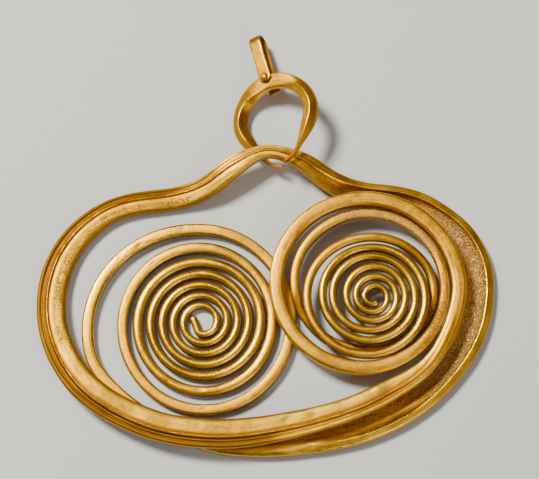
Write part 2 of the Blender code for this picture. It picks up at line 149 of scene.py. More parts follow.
# wire ends: steps of the bend, length of a straight step, shrink and reach of the last two rings
TAIL_BENDS = 8
TAIL_PIECE = 0.3
TAIL_ROUNDING = 0.08
TAIL_END = [(0.93, 0.055), (0.78, TAIL_ROUNDING)]
# steps of the surface pattern in millimetres: from row to row, and round a section
LEFT_TAIL_STEP = 0.3
RIGHT_TAIL_STEP = 0.25
RING_RUN_STEP = 0.17
RING_LAP_STEP = 0.14
BAIL_LAP_STEP = 0.11
# shallow hammer facets and drawn-out folds: depth, length and width in millimetres, seed
BAR_RELIEF = [(0.035, 2.6, 1.5, 3), (0.016, 0.9, 0.7, 5), (0.022, 11.0, 0.42, 7)]
RING_RELIEF = [(0.02, 1.7, 1.1, 11), (0.012, 5.0, 0.4, 13)]
BAR_RELIEF_SINK = 0.02
RING_RELIEF_SINK = 0.015
FULL_RELIEF_WIDTH = 3.0
# bearings between which a coil passes into the hoop, and the left coil's last turn opens out
LEFT_JOIN = (197.0, 222.0)
RIGHT_JOIN = (698.0, 722.0)
FLARE_SPAN = (90.0, 200.0)
# bearings between which widths and thicknesses ease into each other
EASED_SPAN = (222.0, 1080.0)
# bail: where its straight leaves end and its loop begins, as shares of its height
LEAF_SHARE = 0.45
LOOP_SHARE = 0.75
LOOP_STEPS = 16
# how far in a cut end of the bail is rounded off and thinned
REAR_ROUNDING = 0.3
FRONT_THINNING = 0.12
REAR_THINNING = 0.1


def smooth(x):
    x = min(1.0, max(0.0, x))
    return x * x * (3.0 - 2.0 * x)


def straight(x):
    return x


def passed(x, span):
    # smooth share of a span of bearings that lies behind x
    return smooth((x - span[0]) / (span[1] - span[0]))


def along(table, x):
    last = len(table) - 1
    if x <= table[0][0]:
        return list(table[0][1:])
    if x >= table[last][0]:
        return list(table[last][1:])
    k = 0
    while table[k + 1][0] < x:
        k += 1
    x0 = table[k][0]
    x1 = table[k + 1][0]
    h = x1 - x0
    t = (x - x0) / h
    out = []
    for c in range(1, len(table[0])):
        y0 = table[k][c]
        y1 = table[k + 1][c]
        chord = (y1 - y0) / h
        m0 = chord
        m1 = chord
        if k > 0:
            m0 = 0.5 * ((y0 - table[k - 1][c]) / (x0 - table[k - 1][0]) + chord)
        if k + 1 < last:
            m1 = 0.5 * (chord + (table[k + 2][c] - y1) / (table[k + 2][0] - x1))
        a = 2 * t ** 3 - 3 * t ** 2 + 1
        b = t ** 3 - 2 * t ** 2 + t
        d = t ** 3 - t ** 2
        out.append(a * y0 + b * h * m0 + (1 - a) * y1 + d * h * m1)
    return out


def ramp(table, x, ease=smooth):
    if x <= table[0][0]:
        return list(table[0][1:])
    for low, high in zip(table, table[1:]):
        if x <= high[0]:
            t = ease((x - low[0]) / (high[0] - low[0]))
            return [p + (q - p) * t for p, q in zip(low[1:], high[1:])]
    return list(table[-1][1:])


LEFT_START = 180.0 - 360.0 * LEFT_TURNS
RIGHT_END = 720.0 + 360.0 * RIGHT_TURNS


def polar(centre, reach, bearing):
    turn = math.radians(bearing)
    return Vector((centre[0] + reach * math.cos(turn), centre[1] + reach * math.sin(turn)))


def left_coil(bearing):
    n = (bearing - LEFT_START) / 360.0
    grow = (LEFT_COIL_WIDTH - LEFT_TIP_WIDTH) / (2.0 * LEFT_TURNS)
    reach = LEFT_EYE_RADIUS + (LEFT_TIP_WIDTH + LEFT_COIL_GAP) * n + grow * n * n
    reach += LEFT_FLARE * passed(bearing, FLARE_SPAN)
    extra, dx, dy = along(LEFT_DRIFT, n)
    return polar((LEFT_EYE[0] + dx, LEFT_EYE[1] + dy), reach + extra, bearing)


def right_coil(bearing):
    m = (RIGHT_END - bearing) / 360.0
    grow = (RIGHT_COIL_WIDTH - RIGHT_TIP_WIDTH) / (2.0 * (RIGHT_TURNS - 1.0))
    reach = RIGHT_EYE_RADIUS + (RIGHT_TIP_WIDTH + RIGHT_COIL_GAP) * m + grow * m * m
    extra, dx, dy = along(RIGHT_DRIFT, m)
    return polar((RIGHT_EYE[0] + dx, RIGHT_EYE[1] + dy), reach + extra, bearing)


def hoop(bearing):
    return polar(HOOP_CENTRE, along(HOOP_OUTLINE, bearing)[0], bearing)


def middle(bearing):
    if bearing < LEFT_JOIN[0]:
        return left_coil(bearing)
    if bearing < LEFT_JOIN[1]:
        return left_coil(bearing).lerp(hoop(bearing), passed(bearing, LEFT_JOIN))
    if bearing < RIGHT_JOIN[0]:
        return hoop(bearing)
    if bearing < RIGHT_JOIN[1]:
        return hoop(bearing).lerp(right_coil(bearing), passed(bearing, RIGHT_JOIN))
    return right_coil(bearing)


def heading(bearing):
    return middle(bearing + 0.5) - middle(bearing - 0.5)


OVER_WIRE = LEFT_LOOSE_THICK + LAY_GAP
OVER_ARM = RIGHT_ARM_THICK + LAY_GAP
LOOSE_LEVEL = max(OVER_WIRE, OVER_ARM)
DISC_LEVEL = DIP_START + RIGHT_OUTER_THICK + LAY_GAP
LEFT_LAST_WIDTH = LEFT_COIL_WIDTH - (LEFT_COIL_WIDTH - LEFT_TIP_WIDTH) / LEFT_TURNS

# bearing, width, thickness
SIZES = [
    (LEFT_START, LEFT_TIP_WIDTH, LEFT_WIRE_THICK * 0.85),
    (-180.0, LEFT_LAST_WIDTH, LEFT_WIRE_THICK),
    (180.0, LEFT_COIL_WIDTH, LEFT_LOOSE_THICK),
    (222.0, LEFT_LOOSE_WIDTH, LEFT_LOOSE_THICK),
    (262.0, UNDERLAP_WIDTH, RIGHT_ARM_THICK),
    (330.0, RIGHT_ARM_WIDTH, RIGHT_ARM_THICK),
    (388.0, RIGHT_ARM_WIDTH, RIGHT_ARM_THICK),
    (426.0, RIGHT_SHOULDER_WIDTH, RIGHT_ARM_THICK),
    (449.0, APEX_WIDTH, APEX_THICK),
    (464.0, LEFT_SHOULDER_WIDTH, APEX_THICK),
    (500.0, LEFT_SHOULDER_WIDTH, LEFT_ARM_THICK),
    (530.0, LEFT_ARM_WIDTH, LEFT_ARM_THICK),
    (610.0, LEFT_ARM_WIDTH, LEFT_ARM_THICK),
    (680.0, LEFT_SHOULDER_WIDTH, LEFT_ARM_THICK),
    (706.0, RIGHT_LOOSE_WIDTH, RIGHT_LOOSE_THICK),
    (980.0, RIGHT_LOOSE_WIDTH, RIGHT_LOOSE_THICK),
    (1080.0, RIGHT_COIL_WIDTH, RIGHT_OUTER_THICK),
    (RIGHT_END, RIGHT_TIP_WIDTH, RIGHT_WIRE_THICK * 0.8),
]
# bearing, height of the underside
LEVELS = [
    (410.0, 0.0), (440.0, APEX_LEVEL), (459.0, APEX_LEVEL), (492.0, 0.0),
    (520.0, 0.0), (570.0, OVER_WIRE), (600.0, LOOSE_LEVEL), (1268.0, LOOSE_LEVEL),
    (1288.0, DIP_START), (1315.0, 0.0), (1390.0, 0.0), (1440.0, 0.45 * DISC_LEVEL),
    (1530.0, DISC_LEVEL), (1815.0, DISC_LEVEL), (1890.0, DISC_LEVEL - 0.3 * RIGHT_WIRE_THICK),
    (1965.0, DISC_LEVEL),
]
# bearing, share of each section: round wire, squared wire, ribbed band, channelled band
SHARES = [
    (-900.0, 0.8, 0.2, 0.0, 0.0), (-540.0, 0.5, 0.5, 0.0, 0.0), (-200.0, 0.15, 0.85, 0.0, 0.0),
    (222.0, 0.0, 1.0, 0.0, 0.0), (270.0, 0.0, 0.85, 0.0, 0.15), (325.0, 0.0, 0.0, 0.0, 1.0),
    (405.0, 0.0, 0.0, 0.0, 1.0), (440.0, 0.0, 0.5, 0.5, 0.0), (480.0, 0.0, 0.0, 1.0, 0.0),
    (682.0, 0.0, 0.0, 1.0, 0.0), (714.0, 0.0, 1.0, 0.0, 0.0), (1080.0, 0.2, 0.8, 0.0, 0.0),
    (1500.0, 0.6, 0.4, 0.0, 0.0), (1900.0, 0.8, 0.2, 0.0, 0.0),
]

# finer sections: across from the outer edge to the inner edge, up from the underside
ROUND = [(0.5 * math.cos(math.radians(-90 - 15 * k)),
          0.5 + 0.5 * math.sin(math.radians(-90 - 15 * k))) for k in range(24)]
SQUARED = [(0.0, 0.0), (-0.25, 0.0), (-0.41, 0.035), (-0.48, 0.14), (-0.5, 0.4), (-0.5, 0.66),
           (-0.487, 0.82), (-0.445, 0.91), (-0.37, 0.96), (-0.29, 0.985), (-0.2, 0.99), (-0.1, 1.0),
           (0.0, 1.0), (0.1, 1.0), (0.2, 0.99), (0.29, 0.985), (0.37, 0.96), (0.445, 0.91),
           (0.487, 0.82), (0.5, 0.66), (0.5, 0.4), (0.48, 0.14), (0.41, 0.035), (0.25, 0.0)]
RIBBED = [(0.0, 0.0), (-0.25, 0.0), (-0.41, 0.03), (-0.48, 0.15), (-0.5, 0.4), (-0.496, 0.64),
          (-0.465, 0.775), (-0.385, 0.8), (-0.305, 0.735), (-0.262, 0.79), (-0.195, 0.755), (-0.16, 0.93),
          (-0.13, 1.0), (-0.1, 0.965), (-0.072, 0.795), (-0.03, 0.83), (0.12, 0.83), (0.28, 0.815),
          (0.41, 0.77), (0.478, 0.65), (0.5, 0.4), (0.475, 0.15), (0.4, 0.03), (0.25, 0.0)]
CHANNEL = [(0.0, 0.0), (-0.25, 0.0), (-0.4, 0.03), (-0.475, 0.16), (-0.5, 0.45), (-0.498, 0.68),
           (-0.475, 0.82), (-0.42, 0.89), (-0.35, 0.94), (-0.29, 0.99), (-0.26, 1.0), (-0.23, 0.97),
           (-0.19, 0.87), (-0.13, 0.72), (-0.04, 0.58), (0.08, 0.5), (0.2, 0.51), (0.32, 0.6),
           (0.41, 0.74), (0.47, 0.82), (0.5, 0.7), (0.485, 0.25), (0.4, 0.03), (0.25, 0.0)]


def finer(profiles):
    # puts a cubic point between each pair of a closed row of points
    before = np.roll(profiles, 1, axis=-2)
    after = np.roll(profiles, -1, axis=-2)
    later = np.roll(profiles, -2, axis=-2)
    between = (9.0 * (profiles + after) - before - later) / 16.0
    out = np.stack([profiles, between], axis=-2)
    return out.reshape(profiles.shape[:-2] + (profiles.shape[-2] * 2, profiles.shape[-1]))


def lattice(ix, iy, seed):
    mixed = (ix * 374761393 + iy * 668265263 + seed * 974634777) & 0xFFFFFFFF
    mixed = ((mixed ^ (mixed >> 13)) * 1274126177) & 0xFFFFFFFF
    return ((mixed ^ (mixed >> 16)) & 0xFFFF) / 65535.0


def grain(x, y, seed):
    # smooth value noise from -1 to 1
    ix = np.floor(x).astype(np.int64)
    iy = np.floor(y).astype(np.int64)
    fx = x - ix
    fy = y - iy
    fx = fx * fx * (3 - 2 * fx)
    fy = fy * fy * (3 - 2 * fy)
    a = lattice(ix, iy, seed)
    b = lattice(ix + 1, iy, seed)
    c = lattice(ix, iy + 1, seed)
    d = lattice(ix + 1, iy + 1, seed)
    return 2.0 * ((a * (1 - fx) + b * fx) * (1 - fy) + (c * (1 - fx) + d * fx) * fy) - 1.0


def relief(table, run, lap, scale=1.0):
    out = np.zeros_like(run)
    for depth, long, broad, seed in table:
        out += depth * grain(run / long, lap / broad, seed) * scale
    return out


def eased(x):
    x = np.clip(x, 0.0, 1.0)
    return x * x * (3.0 - 2.0 * x)


def soften(rows, width):
    # averages a row of values along its first axis, ends kept
    out = rows.copy()
    total = np.ones(len(rows))
    for k in range(1, width + 1):
        weight = math.exp(-2.0 * (k / width) ** 2)
        first = rows[:1].repeat(k, axis=0)
        last = rows[-1:].repeat(k, axis=0)
        out = out + weight * np.concatenate([first, rows[:-k]])
        out = out + weight * np.concatenate([rows[k:], last])
        total = total + 2 * weight
    return out / total.reshape((-1,) + (1,) * (rows.ndim - 1))


def skin(name, grid, marks=None, sharp=None):
    # closed mesh over a grid of rings, with a fan on each end
    count, around = grid.shape[:2]
    points = grid.reshape(-1, 3)
    k = np.arange(around)
    j = (k + 1) % around
    base = np.arange(count - 1)[:, None] * around
    quads = np.stack([base + k, base + j, base + around + j, base + around + k], axis=-1)
    faces = quads.reshape(-1, 4).tolist()
    faces.append(list(range(around))[::-1])
    faces.append(list(range((count - 1) * around, count * around)))
    mesh = bpy.data.meshes.new(name)
    mesh.from_pydata((points * MM).tolist(), [], faces)
    for key, values in (marks or {}).items():
        layer = mesh.attributes.new(key, "FLOAT", "POINT")
        layer.data.foreach_set("value", np.asarray(values, dtype=np.float32).ravel())
    mesh.shade_smooth()
    if sharp:
        mesh.set_sharp_from_angle(angle=math.radians(sharp))
    mesh.validate()
    thing = bpy.data.objects.new(name, mesh)
    bpy.context.scene.collection.objects.link(thing)
    return thing


# walk along the bar in even steps
bearings = [LEFT_START]
while bearings[-1] < RIGHT_END:
    bearing = bearings[-1]
    speed = heading(bearing).length
    bearings.append(min(bearing + STEP / speed, RIGHT_END))
bearings = np.array(bearings)
spots = np.array([tuple(middle(b)) for b in bearings])
runs = np.array([tuple(heading(b).normalized()) for b in bearings])
sizes = np.array([ramp(SIZES, b, smooth if EASED_SPAN[0] < b < EASED_SPAN[1] else straight)
                  for b in bearings])
levels = np.array([ramp(LEVELS, b)[0] for b in bearings])
shares = np.array([ramp(SHARES, b) for b in bearings])
inner = slice(6, -6)
spots[inner] = soften(spots, 3)[inner]
runs[inner] = soften(runs, 3)[inner]
runs /= np.linalg.norm(runs, axis=1, keepdims=True)
sizes = soften(sizes, 8)
levels = soften(levels, 4)

walked = np.concatenate([[0.0], np.cumsum(np.linalg.norm(np.diff(spots, axis=0), axis=1))])
sections = np.einsum("nt,tkc->nkc", shares, np.array([ROUND, SQUARED, RIBBED, CHANNEL]))
sections = finer(sections)
around = sections.shape[1]

# hollows and crests of each section, from how far a point lies off its neighbours' chord
wide = sections[:, :, 0] * sizes[:, 0:1]
tall = sections[:, :, 1] * sizes[:, 1:2]
hollow = np.zeros_like(tall)
CHORD_REACHES = (1, 2, 3)
for reach in CHORD_REACHES:
    near = 0.5 * (np.roll(tall, reach, axis=1) + np.roll(tall, -reach, axis=1))
    hollow += (near - tall) / len(CHORD_REACHES)
stretch = np.hypot(np.roll(wide, -1, axis=1) - wide, np.roll(tall, -1, axis=1) - tall)
girth = np.cumsum(stretch, axis=1) - stretch

along_bar = walked[:, None] + np.zeros_like(tall)
upper = eased((sections[:, :, 1] - 0.2) / 0.4)

across = np.stack([-runs[:, 1], runs[:, 0]], axis=1)
grid = np.zeros((len(bearings), around, 3))
grid[:, :, 0] = spots[:, 0:1] + across[:, 0:1] * wide
grid[:, :, 1] = spots[:, 1:2] + across[:, 1:2] * wide
grid[:, :, 2] = levels[:, None] + tall

# hand-made surface: relief along each point's normal
ahead = np.gradient(grid, axis=0)
around_step = np.roll(grid, -1, axis=1) - np.roll(grid, 1, axis=1)
normal = np.cross(around_step, ahead)
normal /= np.maximum(np.linalg.norm(normal, axis=2, keepdims=True), 1e-9)
outward = grid - grid.mean(axis=1, keepdims=True)
if (normal * outward).sum() < 0:
    normal = -normal
scale = np.minimum(sizes[:, 0:1] / FULL_RELIEF_WIDTH, 1.0)
raised = relief(BAR_RELIEF, along_bar, girth, scale) - BAR_RELIEF_SINK
grid += normal * (raised * upper)[:, :, None]

# dents and scratches: bearing, place across, then length, width and depth in millimetres
DENTS = [(486.0, 0.02, 0.5, 0.25, 0.09), (489.0, 0.08, 0.25, 0.5, 0.07), (509.0, 0.2, 0.3, 0.3, 0.05),
         (548.0, 0.3, 0.35, 0.2, 0.06), (566.0, 0.1, 0.7, 0.12, 0.05), (602.0, 0.28, 0.22, 0.22, 0.08),
         (640.0, 0.22, 0.3, 0.25, 0.06), (653.0, 0.18, 0.55, 0.4, 0.05), (308.0, -0.1, 0.2, 0.35, 0.09),
         (288.0, -0.25, 0.22, 0.22, 0.08), (352.0, 0.05, 0.25, 0.25, 0.06), (379.0, -0.38, 0.3, 0.2, 0.05),
         (129.0, 0.15, 0.5, 0.3, 0.06), (141.0, -0.1, 0.25, 0.25, 0.05), (101.0, -0.2, 0.2, 0.3, 0.05),
         (-88.0, 0.1, 0.45, 0.2, 0.05), (-230.0, 0.0, 0.4, 0.25, 0.05), (-452.0, 0.1, 0.5, 0.25, 0.07),
         (-480.0, -0.1, 0.3, 0.3, 0.05), (-985.0, 0.1, 0.3, 0.3, 0.05), (740.0, 0.1, 0.4, 0.2, 0.05),
         (812.0, -0.15, 0.5, 0.15, 0.05), (873.0, 0.1, 0.3, 0.3, 0.04), (1158.0, 0.1, 0.45, 0.3, 0.06),
         (1190.0, -0.05, 0.3, 0.25, 0.06), (1520.0, 0.0, 0.4, 0.25, 0.05), (2001.0, 0.1, 0.3, 0.2, 0.05)]
scratched = np.zeros_like(along_bar)
for where, share, long, broad, depth in DENTS:
    walk = np.interp(where, bearings, walked)
    off = (sections[:, :, 0] - share) * sizes[:, 0:1]
    mark = np.exp(-((along_bar - walk) / long) ** 2 - (off / broad) ** 2) * upper
    grid -= normal * (mark * depth)[:, :, None]
    scratched = np.maximum(scratched, mark)


def tail_rings(ring, inside, outside, length, turn):
    # wire bent in towards the eye of its coil, then a straight end cut flat
    run = (inside - outside).normalized()
    heart = ring.mean(axis=0)
    spot = heart.copy()
    bend_stride = TAIL_BEND * abs(math.radians(turn)) / TAIL_BENDS
    straights = max(2, round(length / TAIL_PIECE))
    straight_stride = (length - TAIL_ROUNDING) / straights
    rings = []
    for step in range(1, TAIL_BENDS + straights + 1):
        share = min(step, TAIL_BENDS) / TAIL_BENDS
        go = share if step > TAIL_BENDS else share - 0.5 / TAIL_BENDS
        stride = straight_stride if step > TAIL_BENDS else bend_stride
        way = math.atan2(run.y, run.x) + math.radians(turn * go)
        ahead = np.array([math.cos(way), math.sin(way), 0.0])
        spot = spot + ahead * stride
        c = math.cos(math.radians(turn * share))
        sn = math.sin(math.radians(turn * share))
        spin = np.array([[c, -sn, 0.0], [sn, c, 0.0], [0.0, 0.0, 1.0]])
        rings.append((ring - heart) @ spin.T + spot)
    end = rings[-1]
    for shrink, past in TAIL_END:
        rings.append(spot + (end - spot) * shrink + ahead * past)
    return rings


first = tail_rings(grid[0], middle(LEFT_START), middle(LEFT_START + 6.0),
                   LEFT_TAIL_LENGTH, -LEFT_TAIL_TURN)
last = tail_rings(grid[-1], middle(RIGHT_END), middle(RIGHT_END - 6.0),
                  RIGHT_TAIL_LENGTH, RIGHT_TAIL_TURN)
grid = np.concatenate([np.array(first[::-1]), grid, np.array(last)])


def padded(values):
    return np.concatenate([values[:1].repeat(len(first), axis=0), values,
                           values[-1:].repeat(len(last), axis=0)])


along_bar = padded(along_bar)
steps = np.arange(1, len(first) + 1) * LEFT_TAIL_STEP
along_bar[:len(first)] -= steps[::-1, None]
steps = np.arange(1, len(last) + 1) * RIGHT_TAIL_STEP
along_bar[-len(last):] += steps[:, None]
girth = padded(girth)
hollow = padded(hollow)
bearing_of = padded(bearings)
cross = padded(sections[:, :, 0])
height = padded(sections[:, :, 1])
squared = padded(shares[:, 1:2])
scratched = padded(scratched)
at = bearing_of[:, None] + np.zeros_like(cross)


def window(values, low, high, blur):
    return eased((values - low) / blur) * eased((high - values) / blur)


def spread(values, place, half):
    return np.exp(-((values - place) / half) ** 2)


# masks that the finish reads, by bearing along the bar and by place across it
FULL_DIP = 0.06
FULL_CREST = 0.05
dip = np.clip(hollow / FULL_DIP, 0.0, 1.0)
# paler crests of each section: wear, with painted highlight
crest_wear_and_highlight = np.clip(-hollow / FULL_CREST, 0.0, 1.0) * eased((height - 0.55) / 0.3)
# upper edges of the squared wire made paler: wear, with a painted highlight line on them
rim = spread(np.abs(cross), 0.385, 0.06) * eased((height - 0.6) / 0.2)
crest_wear_and_highlight = np.maximum(crest_wear_and_highlight, 0.85 * rim * squared)
# granular reddish brown deposit in the right arm's channel, thickest by its inner edge
deposit_and_shade = window(at, 296.0, 352.0, 26.0) * spread(cross, 0.42, 0.2)
deposit_and_shade += 0.35 * window(at, 318.0, 356.0, 14.0) * window(cross, -0.1, 0.52, 0.14)
deposit_and_shade += 0.7 * window(at, 270.0, 316.0, 16.0) * spread(cross, 0.34, 0.13)
# painted shadow of the right coil's outer turn on the inner wall of the channel
deposit_and_shade += 0.55 * window(at, 345.0, 400.0, 18.0) * spread(cross, 0.45, 0.12)
# painted shade in the deposit's brown on the turns that lie deepest at the lower right of the right coil
deposit_and_shade += 0.55 * window(at, 1010.0, 1105.0, 30.0)
deposit_and_shade += 0.6 * window(at, 1350.0, 1440.0, 25.0)
# mottled inner band of the left arm
deposit_and_shade += 0.4 * window(at, 474.0, 560.0, 12.0) * window(cross, 0.0, 0.5, 0.12)
deposit_and_shade = np.clip(deposit_and_shade, 0.0, 1.0)
# pitted pale floor of the channel at the right
pitted = window(at, 322.0, 404.0, 22.0) * window(cross, -0.24, 0.4, 0.08)
pitted += 0.5 * window(at, 1095.0, 1200.0, 20.0)
# painted shade on the lower sides and undersides of the wire, wider and darker in the coils
in_coil = np.clip(1.0 - eased((at - 60.0) / 120.0) + eased((at - 1080.0) / 200.0), 0.0, 1.0)
deep_coil = np.clip(1.0 - eased((at + 560.0) / 300.0) + eased((at - 1600.0) / 300.0), 0.0, 1.0)
flank = eased((np.abs(cross) - 0.35 + 0.13 * deep_coil) / (0.1 + 0.05 * deep_coil))
painted_underside_shade = eased((1.0 - height) / 0.26) * flank * (0.45 + 0.55 * in_coil)
painted_underside_shade = np.maximum(painted_underside_shade, 0.5 * eased((0.35 - height) / 0.35))
# deeper orange gold of the left arm
warm = window(at, 470.0, 640.0, 24.0)
warm += 0.45 * window(at, 655.0, 800.0, 30.0)
warm = np.clip(warm, 0.0, 1.0)
# paler gold: on the coils wear with painted highlight, on the right arm's lower end painted light
wear_and_painted_light = window(at, 60.0, 205.0, 30.0) + 0.75 * window(at, -2400.0, -200.0, 60.0)
wear_and_painted_light += 0.8 * window(at, 1700.0, 3600.0, 60.0)
wear_and_painted_light += 0.8 * window(at, 225.0, 340.0, 30.0) * (1.0 - 0.5 * eased((cross - 0.1) / 0.2))
# painted shade over the outer band of the left arm, and a thinner darkening over its inner band, strongest
# by its inner edge
OUTER_BAND = (-0.49, -0.165, 0.03)
shade_and_tarnish = window(at, 472.0, 645.0, 16.0) * window(cross, *OUTER_BAND)
shade_and_tarnish += 0.38 * window(at, 472.0, 660.0, 16.0) * window(cross, -0.07, 0.4, 0.06)
shade_and_tarnish += 0.6 * window(at, 472.0, 660.0, 16.0) * window(cross, 0.32, 0.52, 0.08)
crest_wear_and_highlight = crest_wear_and_highlight * (1.0 - 0.9 * np.clip(shade_and_tarnish, 0.0, 1.0)) * (1.0 - 0.35 * warm)
# more painted shade on the outer band, further along the arm
shade_and_tarnish += 0.5 * window(at, 655.0, 700.0, 16.0) * window(cross, *OUTER_BAND)

# place of the whole: the bar's box in the frame
low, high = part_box("spiral_bar")
centre = (Vector(low) + Vector(high)) / 2.0
raw = grid.reshape(-1, 3)
shift = np.array([centre.x / MM, centre.y / MM, 0.0])
shift[:2] -= 0.5 * (raw[:, :2].min(axis=0) + raw[:, :2].max(axis=0))
shift[2] = low[2] / MM
grid = grid + shift
box_low = np.array(low) / MM
box_high = np.array(high) / MM
grid = np.minimum(np.maximum(grid, box_low), box_high)

bar = skin("gold_bar", grid, {
    "run_mm": along_bar, "girth_mm": girth, "dip": dip, "crest_wear_and_highlight": crest_wear_and_highlight,
    "deposit_and_shade": deposit_and_shade, "pitted": np.clip(pitted, 0.0, 1.0), "painted_underside_shade": painted_underside_shade, "warm": warm,
    "wear_and_painted_light": np.clip(wear_and_painted_light, 0.0, 1.0), "shade_and_tarnish": shade_and_tarnish, "scratched": scratched})
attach(bar, "root")
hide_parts("spiral_bar")

# the ring, the bail and the rivet share one leaning plane
tilt = math.radians(RING_TILT)
ring_height = (RING_OUTER_RADIUS - 0.2 * RING_SIDE_WIDTH) * math.sin(tilt)
ring_height += 0.5 * RING_SIDE_THICK * math.cos(tilt) + GROUND_GAP
plane_spot = np.array([RING_CENTRE[0] + shift[0], RING_CENTRE[1] + shift[1], ring_height + shift[2]])
plane_turn = np.array(Matrix.Rotation(-tilt, 3, "Y"))


def placed(local):
    return local @ plane_turn.T + plane_spot


# ring sections: across from the outer edge to the inner edge, through the thickness
FLAT = [(-0.5, 0.0), (-0.5, 0.24), (-0.485, 0.4), (-0.43, 0.47), (-0.25, 0.49), (0.0, 0.5),
        (0.25, 0.49), (0.42, 0.46), (0.485, 0.38), (0.5, 0.22), (0.5, 0.0), (0.5, -0.22),
        (0.47, -0.38), (0.36, -0.46), (0.2, -0.49), (0.0, -0.5), (-0.22, -0.49), (-0.38, -0.46),
        (-0.47, -0.37), (-0.5, -0.2)]
ROOF_LEFT = [(-0.5, -0.02), (-0.495, 0.16), (-0.46, 0.27), (-0.34, 0.32), (-0.16, 0.37), (-0.02, 0.43),
             (0.06, 0.5), (0.13, 0.42), (0.24, 0.18), (0.4, -0.06), (0.48, -0.16), (0.5, -0.24),
             (0.46, -0.36), (0.36, -0.46), (0.2, -0.49), (0.0, -0.5), (-0.22, -0.49), (-0.38, -0.45),
             (-0.46, -0.36), (-0.5, -0.2)]
ROOF_RIGHT = [(-0.5, -0.14), (-0.485, 0.0), (-0.43, 0.1), (-0.32, 0.24), (-0.24, 0.35), (-0.17, 0.44),
              (-0.1, 0.5), (-0.03, 0.465), (0.15, 0.42), (0.36, 0.38), (0.46, 0.3), (0.5, 0.12),
              (0.48, -0.3), (0.38, -0.45), (0.2, -0.49), (0.0, -0.5), (-0.22, -0.49), (-0.38, -0.45),
              (-0.46, -0.36), (-0.5, -0.24)]
# share of the way from the ring's top to its points, then width and thickness
RING_SIZES = [(0.0, RING_TOP_WIDTH, RING_TOP_THICK), (0.15, RING_TOP_WIDTH, RING_TOP_THICK),
              (0.45, RING_SIDE_WIDTH, RING_SIDE_THICK), (0.6, RING_SIDE_WIDTH, RING_SIDE_THICK),
              (0.92, RING_POINT_WIDTH, RING_POINT_THICK)]
gap_angle = math.degrees(RING_POINT_GAP / RING_OUTER_RADIUS)
ring_first = RING_POINT_BEARING + 0.5 * gap_angle
ring_sweep = 360.0 - gap_angle
rows = []
for step in range(RING_ROWS + 1):
    share = step / RING_ROWS
    turn = math.radians(ring_first + ring_sweep * share)
    drop = abs(2.0 * share - 1.0)
    width, thick = ramp(RING_SIZES, drop)
    reach = RING_OUTER_RADIUS - 0.5 * width + RING_DROOP * smooth((drop - 0.75) / 0.25)
    reach -= RING_PINCH * smooth((drop - 0.45) / 0.3) * smooth((1.0 - drop) / 0.2)
    sink = (RING_SPLAY if share > 0.5 else -RING_LIFT) * smooth((drop - 0.58) / 0.3)
    roof = smooth((drop - 0.08) / 0.28)
    side_form = ROOF_LEFT if share > 0.5 else ROOF_RIGHT
    form = np.array(FLAT) * (1.0 - roof) + np.array(side_form) * roof
    # turned about, because the reach counts outwards
    form = finer(form[::-1] * np.array([-1.0, 1.0]))
    # blunt points
    close = smooth(min(1.0, (1.0 - drop) / 0.015)) * 0.45 + 0.55
    u = form[:, 0] * width * close
    v = form[:, 1] * thick * close
    ring_row = np.stack([math.cos(turn) * (reach + u), math.sin(turn) * (reach + u), v - sink], axis=1)
    rows.append(ring_row)
ring_grid = np.array(rows)
ring_around = ring_grid.shape[1]
ring_zeros = np.zeros(ring_grid.shape[:2])
ring_run = np.arange(RING_ROWS + 1)[:, None] * RING_RUN_STEP + ring_zeros
ring_lap = np.arange(ring_around)[None, :] * RING_LAP_STEP + ring_zeros
centres = ring_grid.mean(axis=1, keepdims=True)
push = ring_grid - centres
push /= np.maximum(np.linalg.norm(push, axis=2, keepdims=True), 1e-9)
ring_raised = relief(RING_RELIEF, ring_run, ring_lap) - RING_RELIEF_SINK
ring_grid += push * ring_raised[:, :, None]
ring_world = placed(ring_grid.reshape(-1, 3)).reshape(ring_grid.shape)
ring_drop = np.abs(2.0 * np.arange(RING_ROWS + 1) / RING_ROWS - 1.0)[:, None]
left_limb = (np.arange(RING_ROWS + 1)[:, None] > RING_ROWS / 2) * 1.0

# each point's place round its section: 0 outer edge, 10 middle of the top, 20 inner edge
spokes = np.mod(ring_around - 2 - np.arange(ring_around), ring_around)[None, :] + ring_zeros
RIDGE_SPOKE = 12.0
inner_facet = window(spokes, 12.5, 24.0, 2.0)
outer_facet = window(spokes, -1.0, 11.5, 2.0)
# paler ring ridge: painted highlight along the ridge line, with paler edges of the top face near the top
ridge = 0.85 * spread(spokes, RIDGE_SPOKE, 1.5) * eased((ring_drop - 0.1) / 0.15)
rubbed = spread(np.abs(spokes - 10.0), 5.0, 1.2) * eased((0.35 - ring_drop) / 0.2)
# painted shade on the side faces turned from the light: the inner face of the left limb, the outer face of
# the right limb
ring_side_shade = left_limb * (0.7 * inner_facet + 0.15 * outer_facet)
ring_side_shade += (1.0 - left_limb) * (0.05 * inner_facet + 0.45 * outer_facet)
ring_side_shade = np.clip(ring_side_shade * eased((ring_drop - 0.15) / 0.2), 0.0, 1.0)
# painted shade on the ring's underside
under = eased((np.abs(spokes - 11.0) - 12.0) / 4.0)
# painted light: the ring's upper faces paler, most near its top
ring_wear_and_light = (0.05 + 0.5 * eased((0.42 - ring_drop) / 0.2)) * window(spokes, -1.0, 22.0, 2.0)
ring = skin("open_ring", ring_world, {
    "run_mm": ring_run, "girth_mm": ring_lap, "crest_wear_and_highlight": np.maximum(ridge, 0.2 * rubbed),
    "shade_and_tarnish": 0.95 * ring_side_shade, "painted_underside_shade": 0.6 * under, "wear_and_painted_light": ring_wear_and_light}, sharp=75)
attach(ring, "root")
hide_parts("suspension_ring")

